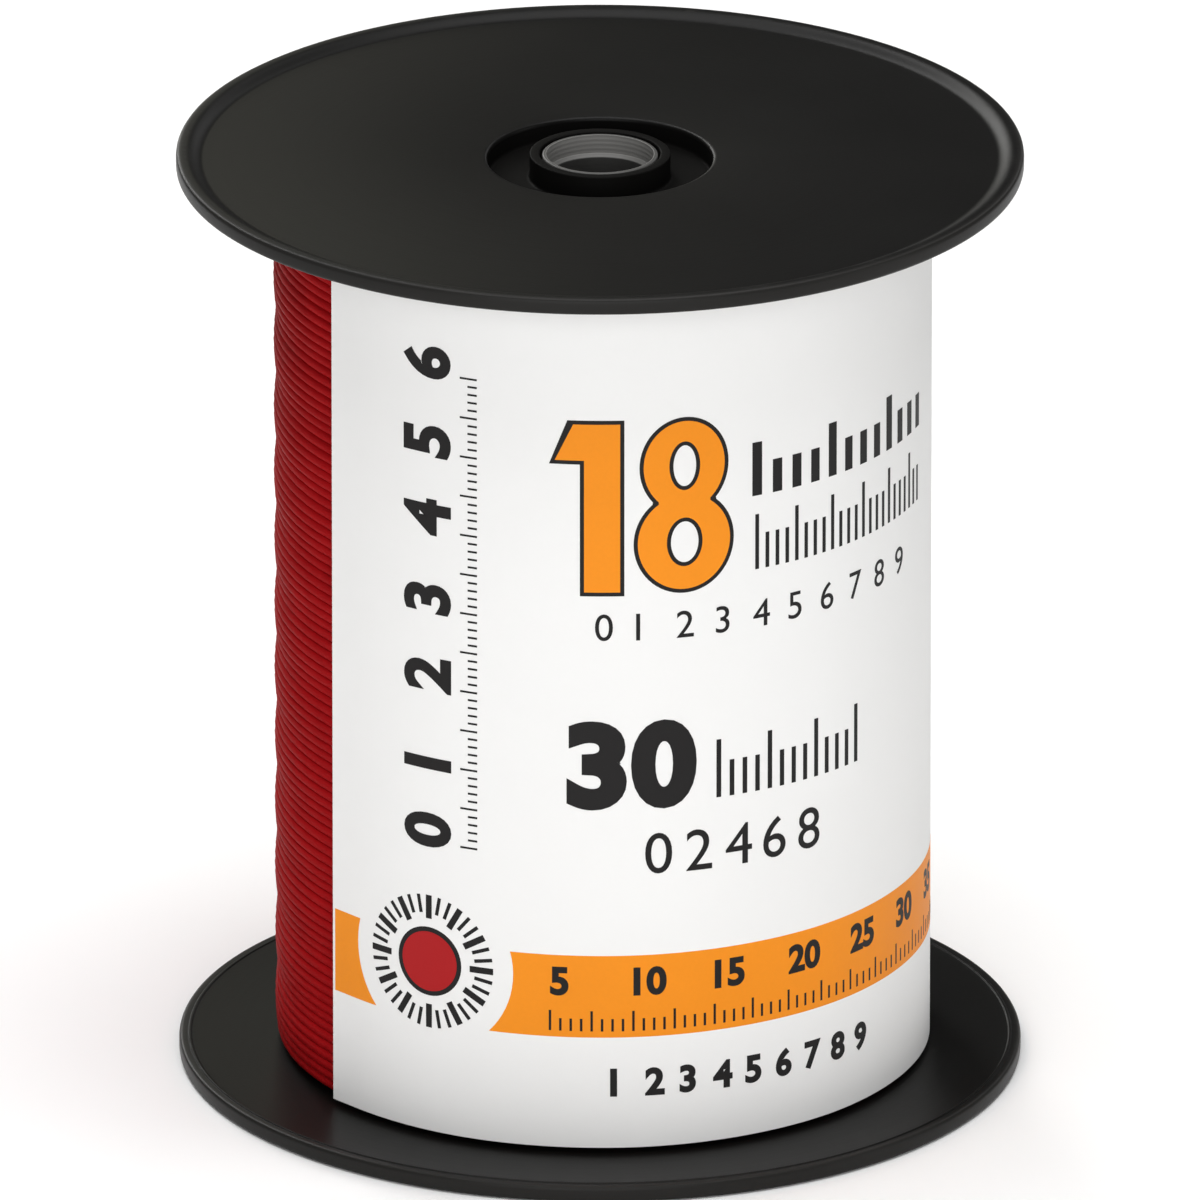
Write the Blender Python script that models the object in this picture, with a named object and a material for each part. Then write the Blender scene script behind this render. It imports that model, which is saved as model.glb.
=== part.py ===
"""A coil of red building wire on its black spool, standing on end.

Two moulded flanges plug into the ends of a barrel tube, and a grey sleeve lines the
bore through both of them.  The wire is wound on the barrel and fills the spool from
flange to flange, and a printed paper sheet is wrapped round the wire.

Metres, +Z up along the spool's axis, with the origin at the middle of the rim that it
stands on.  The front of the label faces -Y.
"""

import math

import bmesh
import bpy

# Overall sizes
OVERALL_HEIGHT = 0.1154
FLANGE_DIAMETER = 0.1016
WINDING_DIAMETER = 0.0785
BARREL_DIAMETER = 0.0540
BARREL_WALL = 0.0018

# Flange rim: a raised lip round a thinner web
RIM_HEIGHT = 0.0020
WEB_THICKNESS = 0.0012
LIP_FLAT_WIDTH = 0.0007
LIP_SLOPE_WIDTH = 0.0015
LIP_OUTER_ROUND = 0.0007
RIM_INNER_ROUND = 0.0011
# Points on the slope from web to lip: share of its width, share of the web's depth left
LIP_SLOPE_POINTS = ((0.35, 0.80), (0.70, 0.25))

# Round recess in the middle of each flange, and the hub that stands up in it
RECESS_DIAMETER = 0.0270
RECESS_DEPTH = 0.0025
RECESS_EDGE_ROUND = 0.0003
HUB_WALL = 0.0012
HUB_SETBACK = 0.0003
HUB_EDGE_ROUND = 0.0003
HUB_LENGTH = 0.0110

# Sleeve that lines the bore, wider at its two mouths
SLEEVE_DIAMETER = 0.0139
SLEEVE_BORE = 0.0118
SLEEVE_MOUTH_DIAMETER = 0.0129
SLEEVE_MOUTH_DEPTH = 0.0023
SLEEVE_INSET = 0.0001

# Spigot that carries the barrel tube
SPIGOT_WALL = 0.0016
SPIGOT_LENGTH = 0.0070
SPIGOT_CHAMFER = 0.0004

# Winding
WIRE_DIAMETER = 0.0042
WAVE_SPACING = 0.0085
WAVE_DEPTH = 0.0003
END_GROOVE_DEPTH = 0.0006

# Printed paper wrap
LABEL_THICKNESS = 0.0002
LABEL_LEFT_EDGE_ANGLE = math.radians(53.3)
LABEL_WRAP_ANGLE = math.radians(270.0)
LABEL_END_GAP = 0.0004

# Fits and fineness
SEAT_GAP = 0.0003
TURN_STEPS = 48
ARC_STEPS = 2
WAVE_POINTS = 3
GROOVE_POINTS = 2
CREASE_ANGLE = math.radians(32.0)

# Places worked out from the sizes above
FLANGE_RADIUS = FLANGE_DIAMETER / 2
BARREL_RADIUS = BARREL_DIAMETER / 2
BARREL_INNER_RADIUS = BARREL_RADIUS - BARREL_WALL
WINDING_RADIUS = WINDING_DIAMETER / 2
WEB_FACE = RIM_HEIGHT - WEB_THICKNESS
RECESS_FLOOR = WEB_FACE + RECESS_DEPTH
INNER_LOW = RIM_HEIGHT + SEAT_GAP
INNER_HIGH = OVERALL_HEIGHT - RIM_HEIGHT - SEAT_GAP


def clear_scene():
    """Remove whatever the file opened with."""
    for thing in list(bpy.data.objects):
        bpy.data.objects.remove(thing, do_unlink=True)


def finish(name, colour, roughness, metallic=0.0):
    """A plain material with the colour and gloss of one piece."""
    material = bpy.data.materials.new(name)
    material.use_nodes = True
    shader = material.node_tree.nodes["Principled BSDF"]
    shader.inputs["Base Color"].default_value = (*colour, 1.0)
    shader.inputs["Roughness"].default_value = roughness
    shader.inputs["Metallic"].default_value = metallic
    return material


def arc(centre_radius, centre_height, size, first_degrees, last_degrees):
    """Points on a round edge of a profile, both ends included."""
    points = []
    for step in range(ARC_STEPS + 1):
        share = step / ARC_STEPS
        angle = math.radians(first_degrees + (last_degrees - first_degrees) * share)
        points.append((centre_radius + size * math.cos(angle),
                       centre_height + size * math.sin(angle)))
    return points


def add_object(name, mesh_builder, material):
    """Turn a bmesh into a smooth-shaded object of its own."""
    bmesh.ops.recalc_face_normals(mesh_builder, faces=mesh_builder.faces)
    mesh = bpy.data.meshes.new(name)
    mesh_builder.to_mesh(mesh)
    mesh_builder.free()
    mesh.shade_smooth()
    mesh.set_sharp_from_angle(angle=CREASE_ANGLE)
    mesh.materials.append(material)
    thing = bpy.data.objects.new(name, mesh)
    bpy.context.scene.collection.objects.link(thing)
    return thing


def closed_profile(builder, profile):
    """Put a closed loop of (radius, height) points in the plane Y = 0."""
    corners = [builder.verts.new((radius, 0.0, height)) for radius, height in profile]
    edges = []
    for index, corner in enumerate(corners):
        edges.append(builder.edges.new((corner, corners[(index + 1) % len(corners)])))
    return corners, edges


def turned(name, profile, material):
    """Spin a closed profile right round the Z axis."""
    builder = bmesh.new()
    corners, edges = closed_profile(builder, profile)
    bmesh.ops.spin(builder, geom=corners + edges, cent=(0.0, 0.0, 0.0), axis=(0.0, 0.0, 1.0),
                   angle=math.tau, steps=TURN_STEPS, use_merge=True, use_duplicate=False)
    bmesh.ops.remove_doubles(builder, verts=builder.verts, dist=1e-6)
    return add_object(name, builder, material)


def flange_profile():
    """Section of a flange, with heights measured inwards from its outer face."""
    hub_bore = SLEEVE_DIAMETER / 2 + SEAT_GAP
    hub = hub_bore + HUB_WALL
    hub_end = HUB_SETBACK + HUB_LENGTH
    recess = RECESS_DIAMETER / 2
    lip_outer = FLANGE_RADIUS - LIP_OUTER_ROUND
    lip_inner = lip_outer - LIP_FLAT_WIDTH
    slope_foot = lip_inner - LIP_SLOPE_WIDTH
    spigot = BARREL_INNER_RADIUS - SEAT_GAP
    spigot_end = RIM_HEIGHT + SPIGOT_LENGTH

    profile = [(hub_bore, hub_end), (hub_bore, HUB_SETBACK)]
    profile += arc(hub - HUB_EDGE_ROUND, HUB_SETBACK + HUB_EDGE_ROUND, HUB_EDGE_ROUND, 270, 360)
    profile += [(hub, RECESS_FLOOR), (recess, RECESS_FLOOR)]
    profile += arc(recess + RECESS_EDGE_ROUND, WEB_FACE + RECESS_EDGE_ROUND, RECESS_EDGE_ROUND, 180, 270)
    profile += [(slope_foot, WEB_FACE)]
    profile += [(slope_foot + LIP_SLOPE_WIDTH * across, WEB_FACE * left) for across, left in LIP_SLOPE_POINTS]
    profile += [(lip_inner, 0.0)]
    profile += arc(lip_outer, LIP_OUTER_ROUND, LIP_OUTER_ROUND, 270, 360)
    profile += arc(FLANGE_RADIUS - RIM_INNER_ROUND, RIM_HEIGHT - RIM_INNER_ROUND, RIM_INNER_ROUND, 0, 90)
    profile += [(spigot, RIM_HEIGHT), (spigot, spigot_end - SPIGOT_CHAMFER)]
    profile += [(spigot - SPIGOT_CHAMFER, spigot_end), (spigot - SPIGOT_WALL, spigot_end)]
    profile += [(spigot - SPIGOT_WALL, RIM_HEIGHT), (recess + WEB_THICKNESS, RIM_HEIGHT)]
    profile += [(recess + WEB_THICKNESS, RECESS_FLOOR + WEB_THICKNESS), (hub, RECESS_FLOOR + WEB_THICKNESS)]
    profile += [(hub, hub_end)]
    return profile


def build_flanges():
    """The two flanges are one moulding, used both ways up."""
    profile = flange_profile()
    turned("lower_flange", profile, finish("black_moulding_lower", (0.020, 0.019, 0.018), 0.36))
    upside_down = [(radius, OVERALL_HEIGHT - height) for radius, height in profile]
    turned("upper_flange", upside_down, finish("black_moulding_upper", (0.020, 0.019, 0.018), 0.36))


def build_barrel():
    """The tube that the wire is wound on, over the flanges' spigots."""
    profile = [(BARREL_INNER_RADIUS, INNER_LOW), (BARREL_RADIUS, INNER_LOW)]
    profile += [(BARREL_RADIUS, INNER_HIGH), (BARREL_INNER_RADIUS, INNER_HIGH)]
    turned("barrel_tube", profile, finish("black_tube", (0.022, 0.021, 0.020), 0.45))


def build_sleeve():
    """The grey tube that lines the bore from one hub's face to the other's."""
    outer = SLEEVE_DIAMETER / 2
    mouth = SLEEVE_MOUTH_DIAMETER / 2
    bore = SLEEVE_BORE / 2
    low = HUB_SETBACK + SLEEVE_INSET
    high = OVERALL_HEIGHT - low
    profile = [(mouth, low), (outer, low), (outer, high), (mouth, high)]
    profile += [(mouth, high - SLEEVE_MOUTH_DEPTH), (bore, high - SLEEVE_MOUTH_DEPTH)]
    profile += [(bore, low + SLEEVE_MOUTH_DEPTH), (mouth, low + SLEEVE_MOUTH_DEPTH)]
    turned("bore_sleeve", profile, finish("grey_tube", (0.150, 0.148, 0.142), 0.40))


def end_grooves(inner_radius, end_height, inwards):
    """The crowns of the wound layers on one end of the winding, from the barrel outwards."""
    build_up = WINDING_RADIUS - inner_radius
    layers = max(1, round(build_up / WIRE_DIAMETER))
    points = []
    for layer in range(layers):
        for step in range(GROOVE_POINTS):
            share = step / GROOVE_POINTS
            sink = END_GROOVE_DEPTH * (1.0 - math.sin(math.pi * share))
            radius = inner_radius + build_up * (layer + share) / layers
            points.append((radius, end_height + inwards * sink))
    return points


def build_winding():
    """One solid ring for the wound wire, waved along its outside as the wound turns lie."""
    inner_radius = BARREL_RADIUS + SEAT_GAP
    crest = WINDING_RADIUS
    low = INNER_LOW
    high = INNER_HIGH
    waves = max(1, round((high - low) / WAVE_SPACING))
    steps = waves * WAVE_POINTS
    outside = []
    for step in range(steps + 1):
        dip = WAVE_DEPTH * max(0.0, math.cos(math.tau * step / WAVE_POINTS))
        height = low + END_GROOVE_DEPTH + (high - low - 2 * END_GROOVE_DEPTH) * step / steps
        outside.append((crest - dip, height))
    profile = end_grooves(inner_radius, low, 1.0)
    profile += outside
    profile += list(reversed(end_grooves(inner_radius, high, -1.0)))
    turned("wire_winding", profile, finish("red_wire", (0.235, 0.006, 0.009), 0.42))


def build_label():
    """The paper sheet wrapped round the wire, open over a strip at the left."""
    inner = WINDING_RADIUS + SEAT_GAP
    outer = inner + LABEL_THICKNESS
    low = INNER_LOW + LABEL_END_GAP
    high = INNER_HIGH - LABEL_END_GAP
    builder = bmesh.new()
    corners, edges = closed_profile(builder, [(inner, low), (outer, low), (outer, high), (inner, high)])
    sheet_end = builder.faces.new(corners)
    steps = round(TURN_STEPS * LABEL_WRAP_ANGLE / math.tau)
    bmesh.ops.spin(builder, geom=corners + edges + [sheet_end], cent=(0.0, 0.0, 0.0),
                   axis=(0.0, 0.0, 1.0), angle=LABEL_WRAP_ANGLE, steps=steps, use_duplicate=False)
    label = add_object("label", builder, finish("white_paper", (0.86, 0.85, 0.83), 0.60))
    label.rotation_euler.z = -math.pi / 2 - LABEL_LEFT_EDGE_ANGLE


def main():
    clear_scene()
    build_flanges()
    build_barrel()
    build_sleeve()
    build_winding()
    build_label()
    bpy.context.view_layer.update()


main()
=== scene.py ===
"""Looks of a coil of red building wire on its black spool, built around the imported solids.

Each operator makes one piece, or one group of like pieces, in the frame's own metres:
+Z is up along the spool's axis, and -Y faces the front of the label.  On the label, a
place is given as its distance along the paper from the front line, positive to the
right, and its height above the floor.
"""

import math

import bmesh
import bpy
from mathutils import Matrix, Vector


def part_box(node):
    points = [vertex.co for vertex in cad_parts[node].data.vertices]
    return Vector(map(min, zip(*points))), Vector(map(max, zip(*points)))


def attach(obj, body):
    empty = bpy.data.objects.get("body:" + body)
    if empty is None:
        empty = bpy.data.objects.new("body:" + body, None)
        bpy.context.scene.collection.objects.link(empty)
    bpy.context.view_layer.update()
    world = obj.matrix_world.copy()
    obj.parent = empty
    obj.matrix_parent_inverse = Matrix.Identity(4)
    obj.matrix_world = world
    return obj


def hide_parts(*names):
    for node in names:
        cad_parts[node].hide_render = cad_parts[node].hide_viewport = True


bl_info = {
    "name": "Wire spool looks",
    "version": (1, 0, 0),
    "blender": (4, 5, 0),
    "location": "View3D > Sidebar > Wire spool",
    "description": "Detailed meshes and materials for a coil of building wire on its spool",
    "category": "Object",
}

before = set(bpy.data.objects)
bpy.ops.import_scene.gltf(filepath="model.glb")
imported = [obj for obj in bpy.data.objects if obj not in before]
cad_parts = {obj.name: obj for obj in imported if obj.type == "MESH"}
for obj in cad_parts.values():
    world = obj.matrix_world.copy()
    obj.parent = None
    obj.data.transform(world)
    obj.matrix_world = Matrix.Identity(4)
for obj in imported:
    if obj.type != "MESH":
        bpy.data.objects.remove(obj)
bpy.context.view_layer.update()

BODY = "root"

# Sizes read from the frame
SPOOL_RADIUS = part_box("lower_flange")[1].x
SPOOL_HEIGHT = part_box("upper_flange")[1].z
WINDING_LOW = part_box("wire_winding")[0].z
WINDING_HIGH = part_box("wire_winding")[1].z
WINDING_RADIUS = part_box("wire_winding")[1].x
BARREL_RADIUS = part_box("barrel_tube")[1].x
SLEEVE_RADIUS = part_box("bore_sleeve")[1].x
SLEEVE_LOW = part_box("bore_sleeve")[0].z
SLEEVE_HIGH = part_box("bore_sleeve")[1].z
LABEL_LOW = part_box("label")[0].z
LABEL_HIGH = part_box("label")[1].z

# Fits that the frame's boxes can't show
SEAT_GAP = 0.0003
BARREL_WALL = 0.0018
RIM_HEIGHT = WINDING_LOW - SEAT_GAP
LABEL_INNER = WINDING_RADIUS + SEAT_GAP

SMOOTH_ANGLE = math.radians(35.0)
MERGE_DISTANCE = 1e-7

# Fineness of the core under the wire and of the round print
CORE_STEPS = 96
CROWN_POINTS = 8
SWATCH_STEPS = 48
BAND_END_STEPS = 12


# Settings


def length(name, description, default):
    """A length in metres that a user may change."""
    return bpy.props.FloatProperty(name=name, description=description, default=default,
                                   min=0.0, unit="LENGTH", precision=5)


def number(name, description, default):
    """A plain number that a user may change."""
    return bpy.props.FloatProperty(name=name, description=description, default=default, min=0.0)


def angle(name, description, degrees):
    """An angle that a user may change."""
    return bpy.props.FloatProperty(name=name, description=description,
                                   default=math.radians(degrees), unit="ROTATION")


def count(name, description, default):
    """A whole number that a user may change."""
    return bpy.props.IntProperty(name=name, description=description, default=default, min=1)


def share(name, description, default):
    """A share between nothing and all that a user may change."""
    return bpy.props.FloatProperty(name=name, description=description, default=default,
                                   min=0.0, max=1.0, subtype="FACTOR")


def power(name, description, default):
    """A lamp's power in watts that a user may change."""
    return bpy.props.FloatProperty(name=name, description=description, default=default,
                                   min=0.0, unit="POWER")


def colour(name, description, default):
    """A colour that a user may change."""
    return bpy.props.FloatVectorProperty(name=name, description=description, default=default,
                                         size=3, min=0.0, max=1.0, subtype="COLOR")


class FlangeSettings(bpy.types.PropertyGroup):
    """Sizes and colour of the two moulded flanges."""

    bead_width: length("Bead width", "Width of the raised bead round the rim", 0.0033)
    bead_crest: length("Bead crest", "Distance of the bead's crest from the outer edge", 0.0011)
    web_sink: length("Web sink", "Depth of the web below the bead's crest", 0.0008)
    web_thickness: length("Web thickness", "Thickness of the flat web", 0.0012)
    edge_round: length("Edge round", "Rounding of the rim on the winding side", 0.0010)
    ring_inset: length("Ring inset", "Distance of the moulded ring line from the edge", 0.0013)
    ring_height: length("Ring height", "Height of the moulded ring line", 0.00012)
    recess_radius: length("Recess radius", "Radius of the round recess in the middle", 0.0135)
    recess_depth: length("Recess depth", "Depth of the recess below the web", 0.0025)
    recess_round: length("Recess round", "Rounding of the edge of the recess", 0.0005)
    small_round: length("Small round", "Rounding of the small edges", 0.0002)
    hub_wall: length("Hub wall", "Wall thickness of the hub round the bore", 0.0012)
    hub_setback: length("Hub setback", "Depth of the hub's mouth below the rim", 0.0003)
    hub_length: length("Hub length", "Length of the hub", 0.0110)
    spigot_wall: length("Spigot wall", "Wall thickness of the spigot in the barrel", 0.0016)
    spigot_length: length("Spigot length", "Length of the spigot", 0.0070)
    steps: count("Steps", "Steps round the flange", 240)
    # Painted light: the outer rim is painted this many times paler than the web.
    rim_lift: number("Rim lift", "How much paler the handled rim is than the web", 3.6)
    plastic: colour("Plastic", "Colour of the black plastic", (0.0046, 0.0044, 0.0041))


class SleeveSettings(bpy.types.PropertyGroup):
    """Sizes and colour of the tube that lines the bore."""

    bore_radius: length("Bore radius", "Radius of the bore", 0.0059)
    mouth_radius: length("Mouth radius", "Radius of the wider mouths", 0.00645)
    mouth_depth: length("Mouth depth", "Depth of the wider mouths", 0.0023)
    ledge_drop: length("Ledge drop", "Depth of the sloped ledge under the mouth", 0.0004)
    rings: count("Rings", "Turned rings on the wall of each mouth", 4)
    ring_depth: length("Ring depth", "Depth of the turned rings", 0.00003)
    edge_round: length("Edge round", "Rounding of the tube's ends", 0.00025)
    steps: count("Steps", "Steps round the tube", 128)
    plastic: colour("Plastic", "Colour of the grey plastic", (0.150, 0.148, 0.142))


class WireSettings(bpy.types.PropertyGroup):
    """Sizes and colour of the wound wire."""

    turns: count("Turns", "Turns of the outer layer", 91)
    points: count("Points", "Points along each turn", 84)
    sides: count("Sides", "Sides of the wire's section", 10)
    depth: length("Depth", "Half depth of the wire's flattened section", 0.00050)
    overlap: length("Overlap", "How far a turn reaches under its neighbours", 0.00008)
    waves: count("Waves", "Waves along the height of the winding", 13)
    wave_depth: length("Wave depth", "Depth of the waves", 0.00030)
    unevenness: length("Unevenness", "How far the turns stray from their place", 0.00012)
    layers: count("Layers", "Wound layers that show on the ends", 3)
    groove: length("Groove", "Depth of the grooves between the layers on the ends", 0.0006)
    seed: count("Seed", "Seed of the unevenness", 7)
    insulation: colour("Insulation", "Colour of the insulation", (0.330, 0.0062, 0.0080))
    scuffed: colour("Scuffed", "Colour of the insulation where it is scuffed",
                    (0.400, 0.018, 0.020))


class LabelSettings(bpy.types.PropertyGroup):
    """Sizes and colour of the paper label."""

    thickness: length("Thickness", "Thickness of the paper", 0.0002)
    left_edge: angle("Left edge", "Angle of the left edge from the front", 53.3)
    wrap: angle("Wrap", "Angle that the paper wraps", 270.0)
    lift: length("Lift", "How far the two ends stand off the wire", 0.00018)
    lift_length: length("Lift length", "Length over which the ends lift", 0.0040)
    ripple: length("Ripple", "Depth of the slow ripples along the paper", 0.00010)
    columns: count("Columns", "Cells along the paper", 240)
    rows: count("Rows", "Cells up the paper", 40)
    paper: colour("Paper", "Colour of the paper", (0.870, 0.866, 0.855))


class PrintSettings(bpy.types.PropertyGroup):
    """Sizes and colours of the print on the label."""

    film: length("Film", "Height of the first layer of ink over the paper", 0.00002)
    second_film: length("Second film", "Height of the ink printed over the first", 0.000035)
    cut: length("Cut", "Spacing of the cuts that let the print bend", 0.0012)
    band_low: length("Band low", "Height of the lower edge of the band", 0.0169)
    band_high: length("Band high", "Height of the upper edge of the band", 0.0274)
    orange: colour("Orange", "Colour of the orange ink", (0.880, 0.278, 0.012))
    black: colour("Black", "Colour of the black ink", (0.014, 0.013, 0.013))
    swatch: colour("Swatch", "Colour of the swatch that shows the wire's colour",
                   (0.400, 0.010, 0.012))


class StageSettings(bpy.types.PropertyGroup):
    """Camera, floor and lamps."""

    elevation: angle("Elevation", "Height of the camera above the horizon", 21.08)
    distance: length("Distance", "Distance of the camera from the spool", 5.0)
    frame_width: length("Frame width", "Width of the view at the spool", 0.1443)
    aim_height: length("Aim height", "Height that the camera looks at", 0.0577)
    key: power("Key", "Power of the lamp at the front", 5.2)
    side: power("Side", "Power of the lamp at the right", 1.1)
    top: power("Top", "Power of the lamp overhead", 22.5)
    strip: power("Strip", "Power of the tall lamp behind the spool's left side", 3.9)
    edge: power("Edge", "Power of the tall lamp behind the spool's right side", 0.8)
    glow: power("Glow", "Power of the small lamp close behind the spool's left side", 0.050)
    surround: share("Surround", "Brightness of the surroundings", 0.03)
    floor_radius: length("Floor radius", "Radius of the floor", 4.0)
    floor_drop: length("Floor drop", "Depth of the floor below the lower rim", 0.0001)
    floor: colour("Floor", "Colour of the floor", (0.97, 0.97, 0.97))


class SpoolSettings(bpy.types.PropertyGroup):
    """All settings of the spool."""

    flange: bpy.props.PointerProperty(type=FlangeSettings, name="Flanges")
    sleeve: bpy.props.PointerProperty(type=SleeveSettings, name="Bore sleeve")
    wire: bpy.props.PointerProperty(type=WireSettings, name="Wire")
    label: bpy.props.PointerProperty(type=LabelSettings, name="Label")
    ink: bpy.props.PointerProperty(type=PrintSettings, name="Print")
    stage: bpy.props.PointerProperty(type=StageSettings, name="Stage")


# Node graphs


def pick(sockets, key):
    """A socket by its place, its identifier or its name."""
    if isinstance(key, int):
        return sockets[key]
    for socket in sockets:
        if socket.identifier == key:
            return socket
    return sockets[key]


class Flow:
    """An output socket that takes part in sums, each of which adds a Math node."""

    def __init__(self, graph, socket):
        self.graph = graph
        self.socket = socket

    def beside(self, key):
        """Another output of the same node."""
        return Flow(self.graph, pick(self.socket.node.outputs, key))

    def maths(self, operation, *terms):
        return self.graph.node("ShaderNodeMath", {"operation": operation}, [self, *terms])

    def __add__(self, other):
        return self.maths("ADD", other)

    def __radd__(self, other):
        return self.maths("ADD", other)

    def __sub__(self, other):
        return self.maths("SUBTRACT", other)

    def __rsub__(self, other):
        return self.graph.node("ShaderNodeMath", {"operation": "SUBTRACT"}, [other, self])

    def __mul__(self, other):
        return self.maths("MULTIPLY", other)

    def __truediv__(self, other):
        return self.maths("DIVIDE", other)

    def __pow__(self, other):
        return self.maths("POWER", other)

    def __neg__(self):
        return self.maths("MULTIPLY", -1.0)

    def sine(self):
        return self.maths("SINE")

    def cosine(self):
        return self.maths("COSINE")

    def size(self):
        return self.maths("ABSOLUTE")

    def least(self, other):
        return self.maths("MINIMUM", other)

    def most(self, other):
        return self.maths("MAXIMUM", other)


class Graph:
    """A node tree to which one method adds every node."""

    def __init__(self, tree):
        self.tree = tree

    def node(self, kind, settings=None, inputs=None, output=0):
        """Add a node, with its settings first and then the values or links of its sockets."""
        made = self.tree.nodes.new(kind)
        for name, value in (settings or {}).items():
            if name == "stops":
                self.set_stops(made.color_ramp, value)
            else:
                setattr(made, name, value)
        pairs = inputs.items() if isinstance(inputs, dict) else enumerate(inputs or ())
        for key, value in pairs:
            socket = pick(made.inputs, key)
            if isinstance(value, Flow):
                self.tree.links.new(value.socket, socket)
            else:
                socket.default_value = value
        return Flow(self, pick(made.outputs, output)) if made.outputs else None

    @staticmethod
    def set_stops(ramp, stops):
        """Stops of a ramp, as places and grey levels."""
        while len(ramp.elements) < len(stops):
            ramp.elements.new(1.0)
        for element, (place, level) in zip(ramp.elements, stops):
            element.position = place
            element.color = (level, level, level, 1.0)

    def split(self, vector):
        """The three parts of a vector."""
        first = self.node("ShaderNodeSeparateXYZ", {}, [vector], "X")
        return first, first.beside("Y"), first.beside("Z")

    def joined(self, x, y, z):
        """A vector from its three parts."""
        return self.node("ShaderNodeCombineXYZ", {}, [x, y, z])

    def scaled(self, vector, amount):
        """A vector made longer or shorter."""
        return self.node("ShaderNodeVectorMath", {"operation": "SCALE"},
                         {"Vector": vector, "Scale": amount}, "Vector")

    def noise(self, scale, where, detail=3.0, roughness=0.5):
        """Soft noise between 0 and 1, with its scale in patches per metre."""
        return self.node("ShaderNodeTexNoise", {},
                         {"Vector": where, "Scale": scale, "Detail": detail,
                          "Roughness": roughness})

    def ramp(self, value, *stops):
        """A grey level that follows the value between the stops."""
        return self.node("ShaderNodeValToRGB", {"stops": stops}, [value])


class Finish(Graph):
    """A material with one Principled shader, on the piece's own Object coordinates."""

    def __init__(self, name):
        self.material = bpy.data.materials.new(name)
        self.material.use_nodes = True
        super().__init__(self.material.node_tree)
        self.shader = self.tree.nodes["Principled BSDF"]
        self.place = self.node("ShaderNodeTexCoord", output="Object")
        self.x, self.y, self.z = self.split(self.place)
        self.radius = (self.x * self.x + self.y * self.y) ** 0.5

    def blend(self, amount, first, second):
        """A colour between two colours."""
        return self.node("ShaderNodeMix", {"data_type": "RGBA"},
                         {"Factor_Float": amount, "A_Color": first, "B_Color": second},
                         "Result_Color")

    def relief(self, height, depth, under=None):
        """A bump of the given depth in metres, over another one if there is one."""
        inputs = {"Strength": 1.0, "Distance": depth, "Height": height}
        if under is not None:
            inputs["Normal"] = under
        return self.node("ShaderNodeBump", {}, inputs)

    def set(self, **values):
        """Values or links for the shader's sockets, with the spaces in their names left out."""
        for socket in self.shader.inputs:
            key = socket.name.replace(" ", "")
            if key not in values:
                continue
            value = values[key]
            if isinstance(value, Flow):
                self.tree.links.new(value.socket, socket)
            else:
                socket.default_value = value
        return self.material


def tint(base, factor=1.0):
    """A colour made lighter or darker, with its alpha."""
    return tuple(min(1.0, part * factor) for part in base) + (1.0,)


class Recipe(Graph):
    """A Geometry Nodes tree with named inputs."""

    def __init__(self, name, floats=(), whole=(), takes_mesh=False):
        super().__init__(bpy.data.node_groups.new(name, "GeometryNodeTree"))
        face = self.tree.interface
        if takes_mesh:
            face.new_socket("Mesh", in_out="INPUT", socket_type="NodeSocketGeometry")
        for label in floats:
            face.new_socket(label, in_out="INPUT", socket_type="NodeSocketFloat")
        for label in whole:
            face.new_socket(label, in_out="INPUT", socket_type="NodeSocketInt")
        face.new_socket("Material", in_out="INPUT", socket_type="NodeSocketMaterial")
        face.new_socket("Geometry", in_out="OUTPUT", socket_type="NodeSocketGeometry")
        self.inputs = self.node("NodeGroupInput")

    def given(self, *names):
        """The tree's inputs of these names."""
        return [self.inputs.beside(name) for name in names]

    def close(self, geometry):
        """End the tree in real geometry with its material."""
        real = self.node("GeometryNodeRealizeInstances", {}, [geometry])
        dressed = self.node("GeometryNodeSetMaterial", {},
                            {"Geometry": real, "Material": self.inputs.beside("Material")})
        self.node("NodeGroupOutput", {}, [dressed])
        return self

    def run(self, material, mesh=None, **values):
        """The plain mesh that the tree makes from these inputs, and from a mesh if it takes one."""
        carrier = bpy.data.objects.new(self.tree.name, mesh or bpy.data.meshes.new(self.tree.name))
        bpy.context.scene.collection.objects.link(carrier)
        modifier = carrier.modifiers.new(self.tree.name, "NODES")
        modifier.node_group = self.tree
        for item in self.tree.interface.items_tree:
            key = item.name.replace(" ", "_").lower()
            if item.in_out == "INPUT" and key in values:
                modifier[item.identifier] = values[key]
            if item.in_out == "INPUT" and item.name == "Material":
                modifier[item.identifier] = material
        evaluated = carrier.evaluated_get(bpy.context.evaluated_depsgraph_get())
        made = bpy.data.meshes.new_from_object(evaluated)
        bpy.data.objects.remove(carrier)
        if not made.polygons:
            raise RuntimeError("the tree " + self.tree.name + " made no faces")
        return made


# Meshes


def placed(name, mesh, replaces=()):
    """Put a finished mesh in the scene as a piece of the spool."""
    if not mesh.polygons:
        raise RuntimeError("the piece " + name + " has no faces")
    mesh.name = name
    piece = bpy.data.objects.new(name, mesh)
    bpy.context.scene.collection.objects.link(piece)
    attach(piece, BODY)
    if replaces:
        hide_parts(*replaces)
    return piece


def smooth(mesh, material=None):
    """Smooth shading with the creases kept."""
    mesh.shade_smooth()
    mesh.set_sharp_from_angle(angle=SMOOTH_ANGLE)
    if material is not None:
        mesh.materials.append(material)
    return mesh


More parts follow.
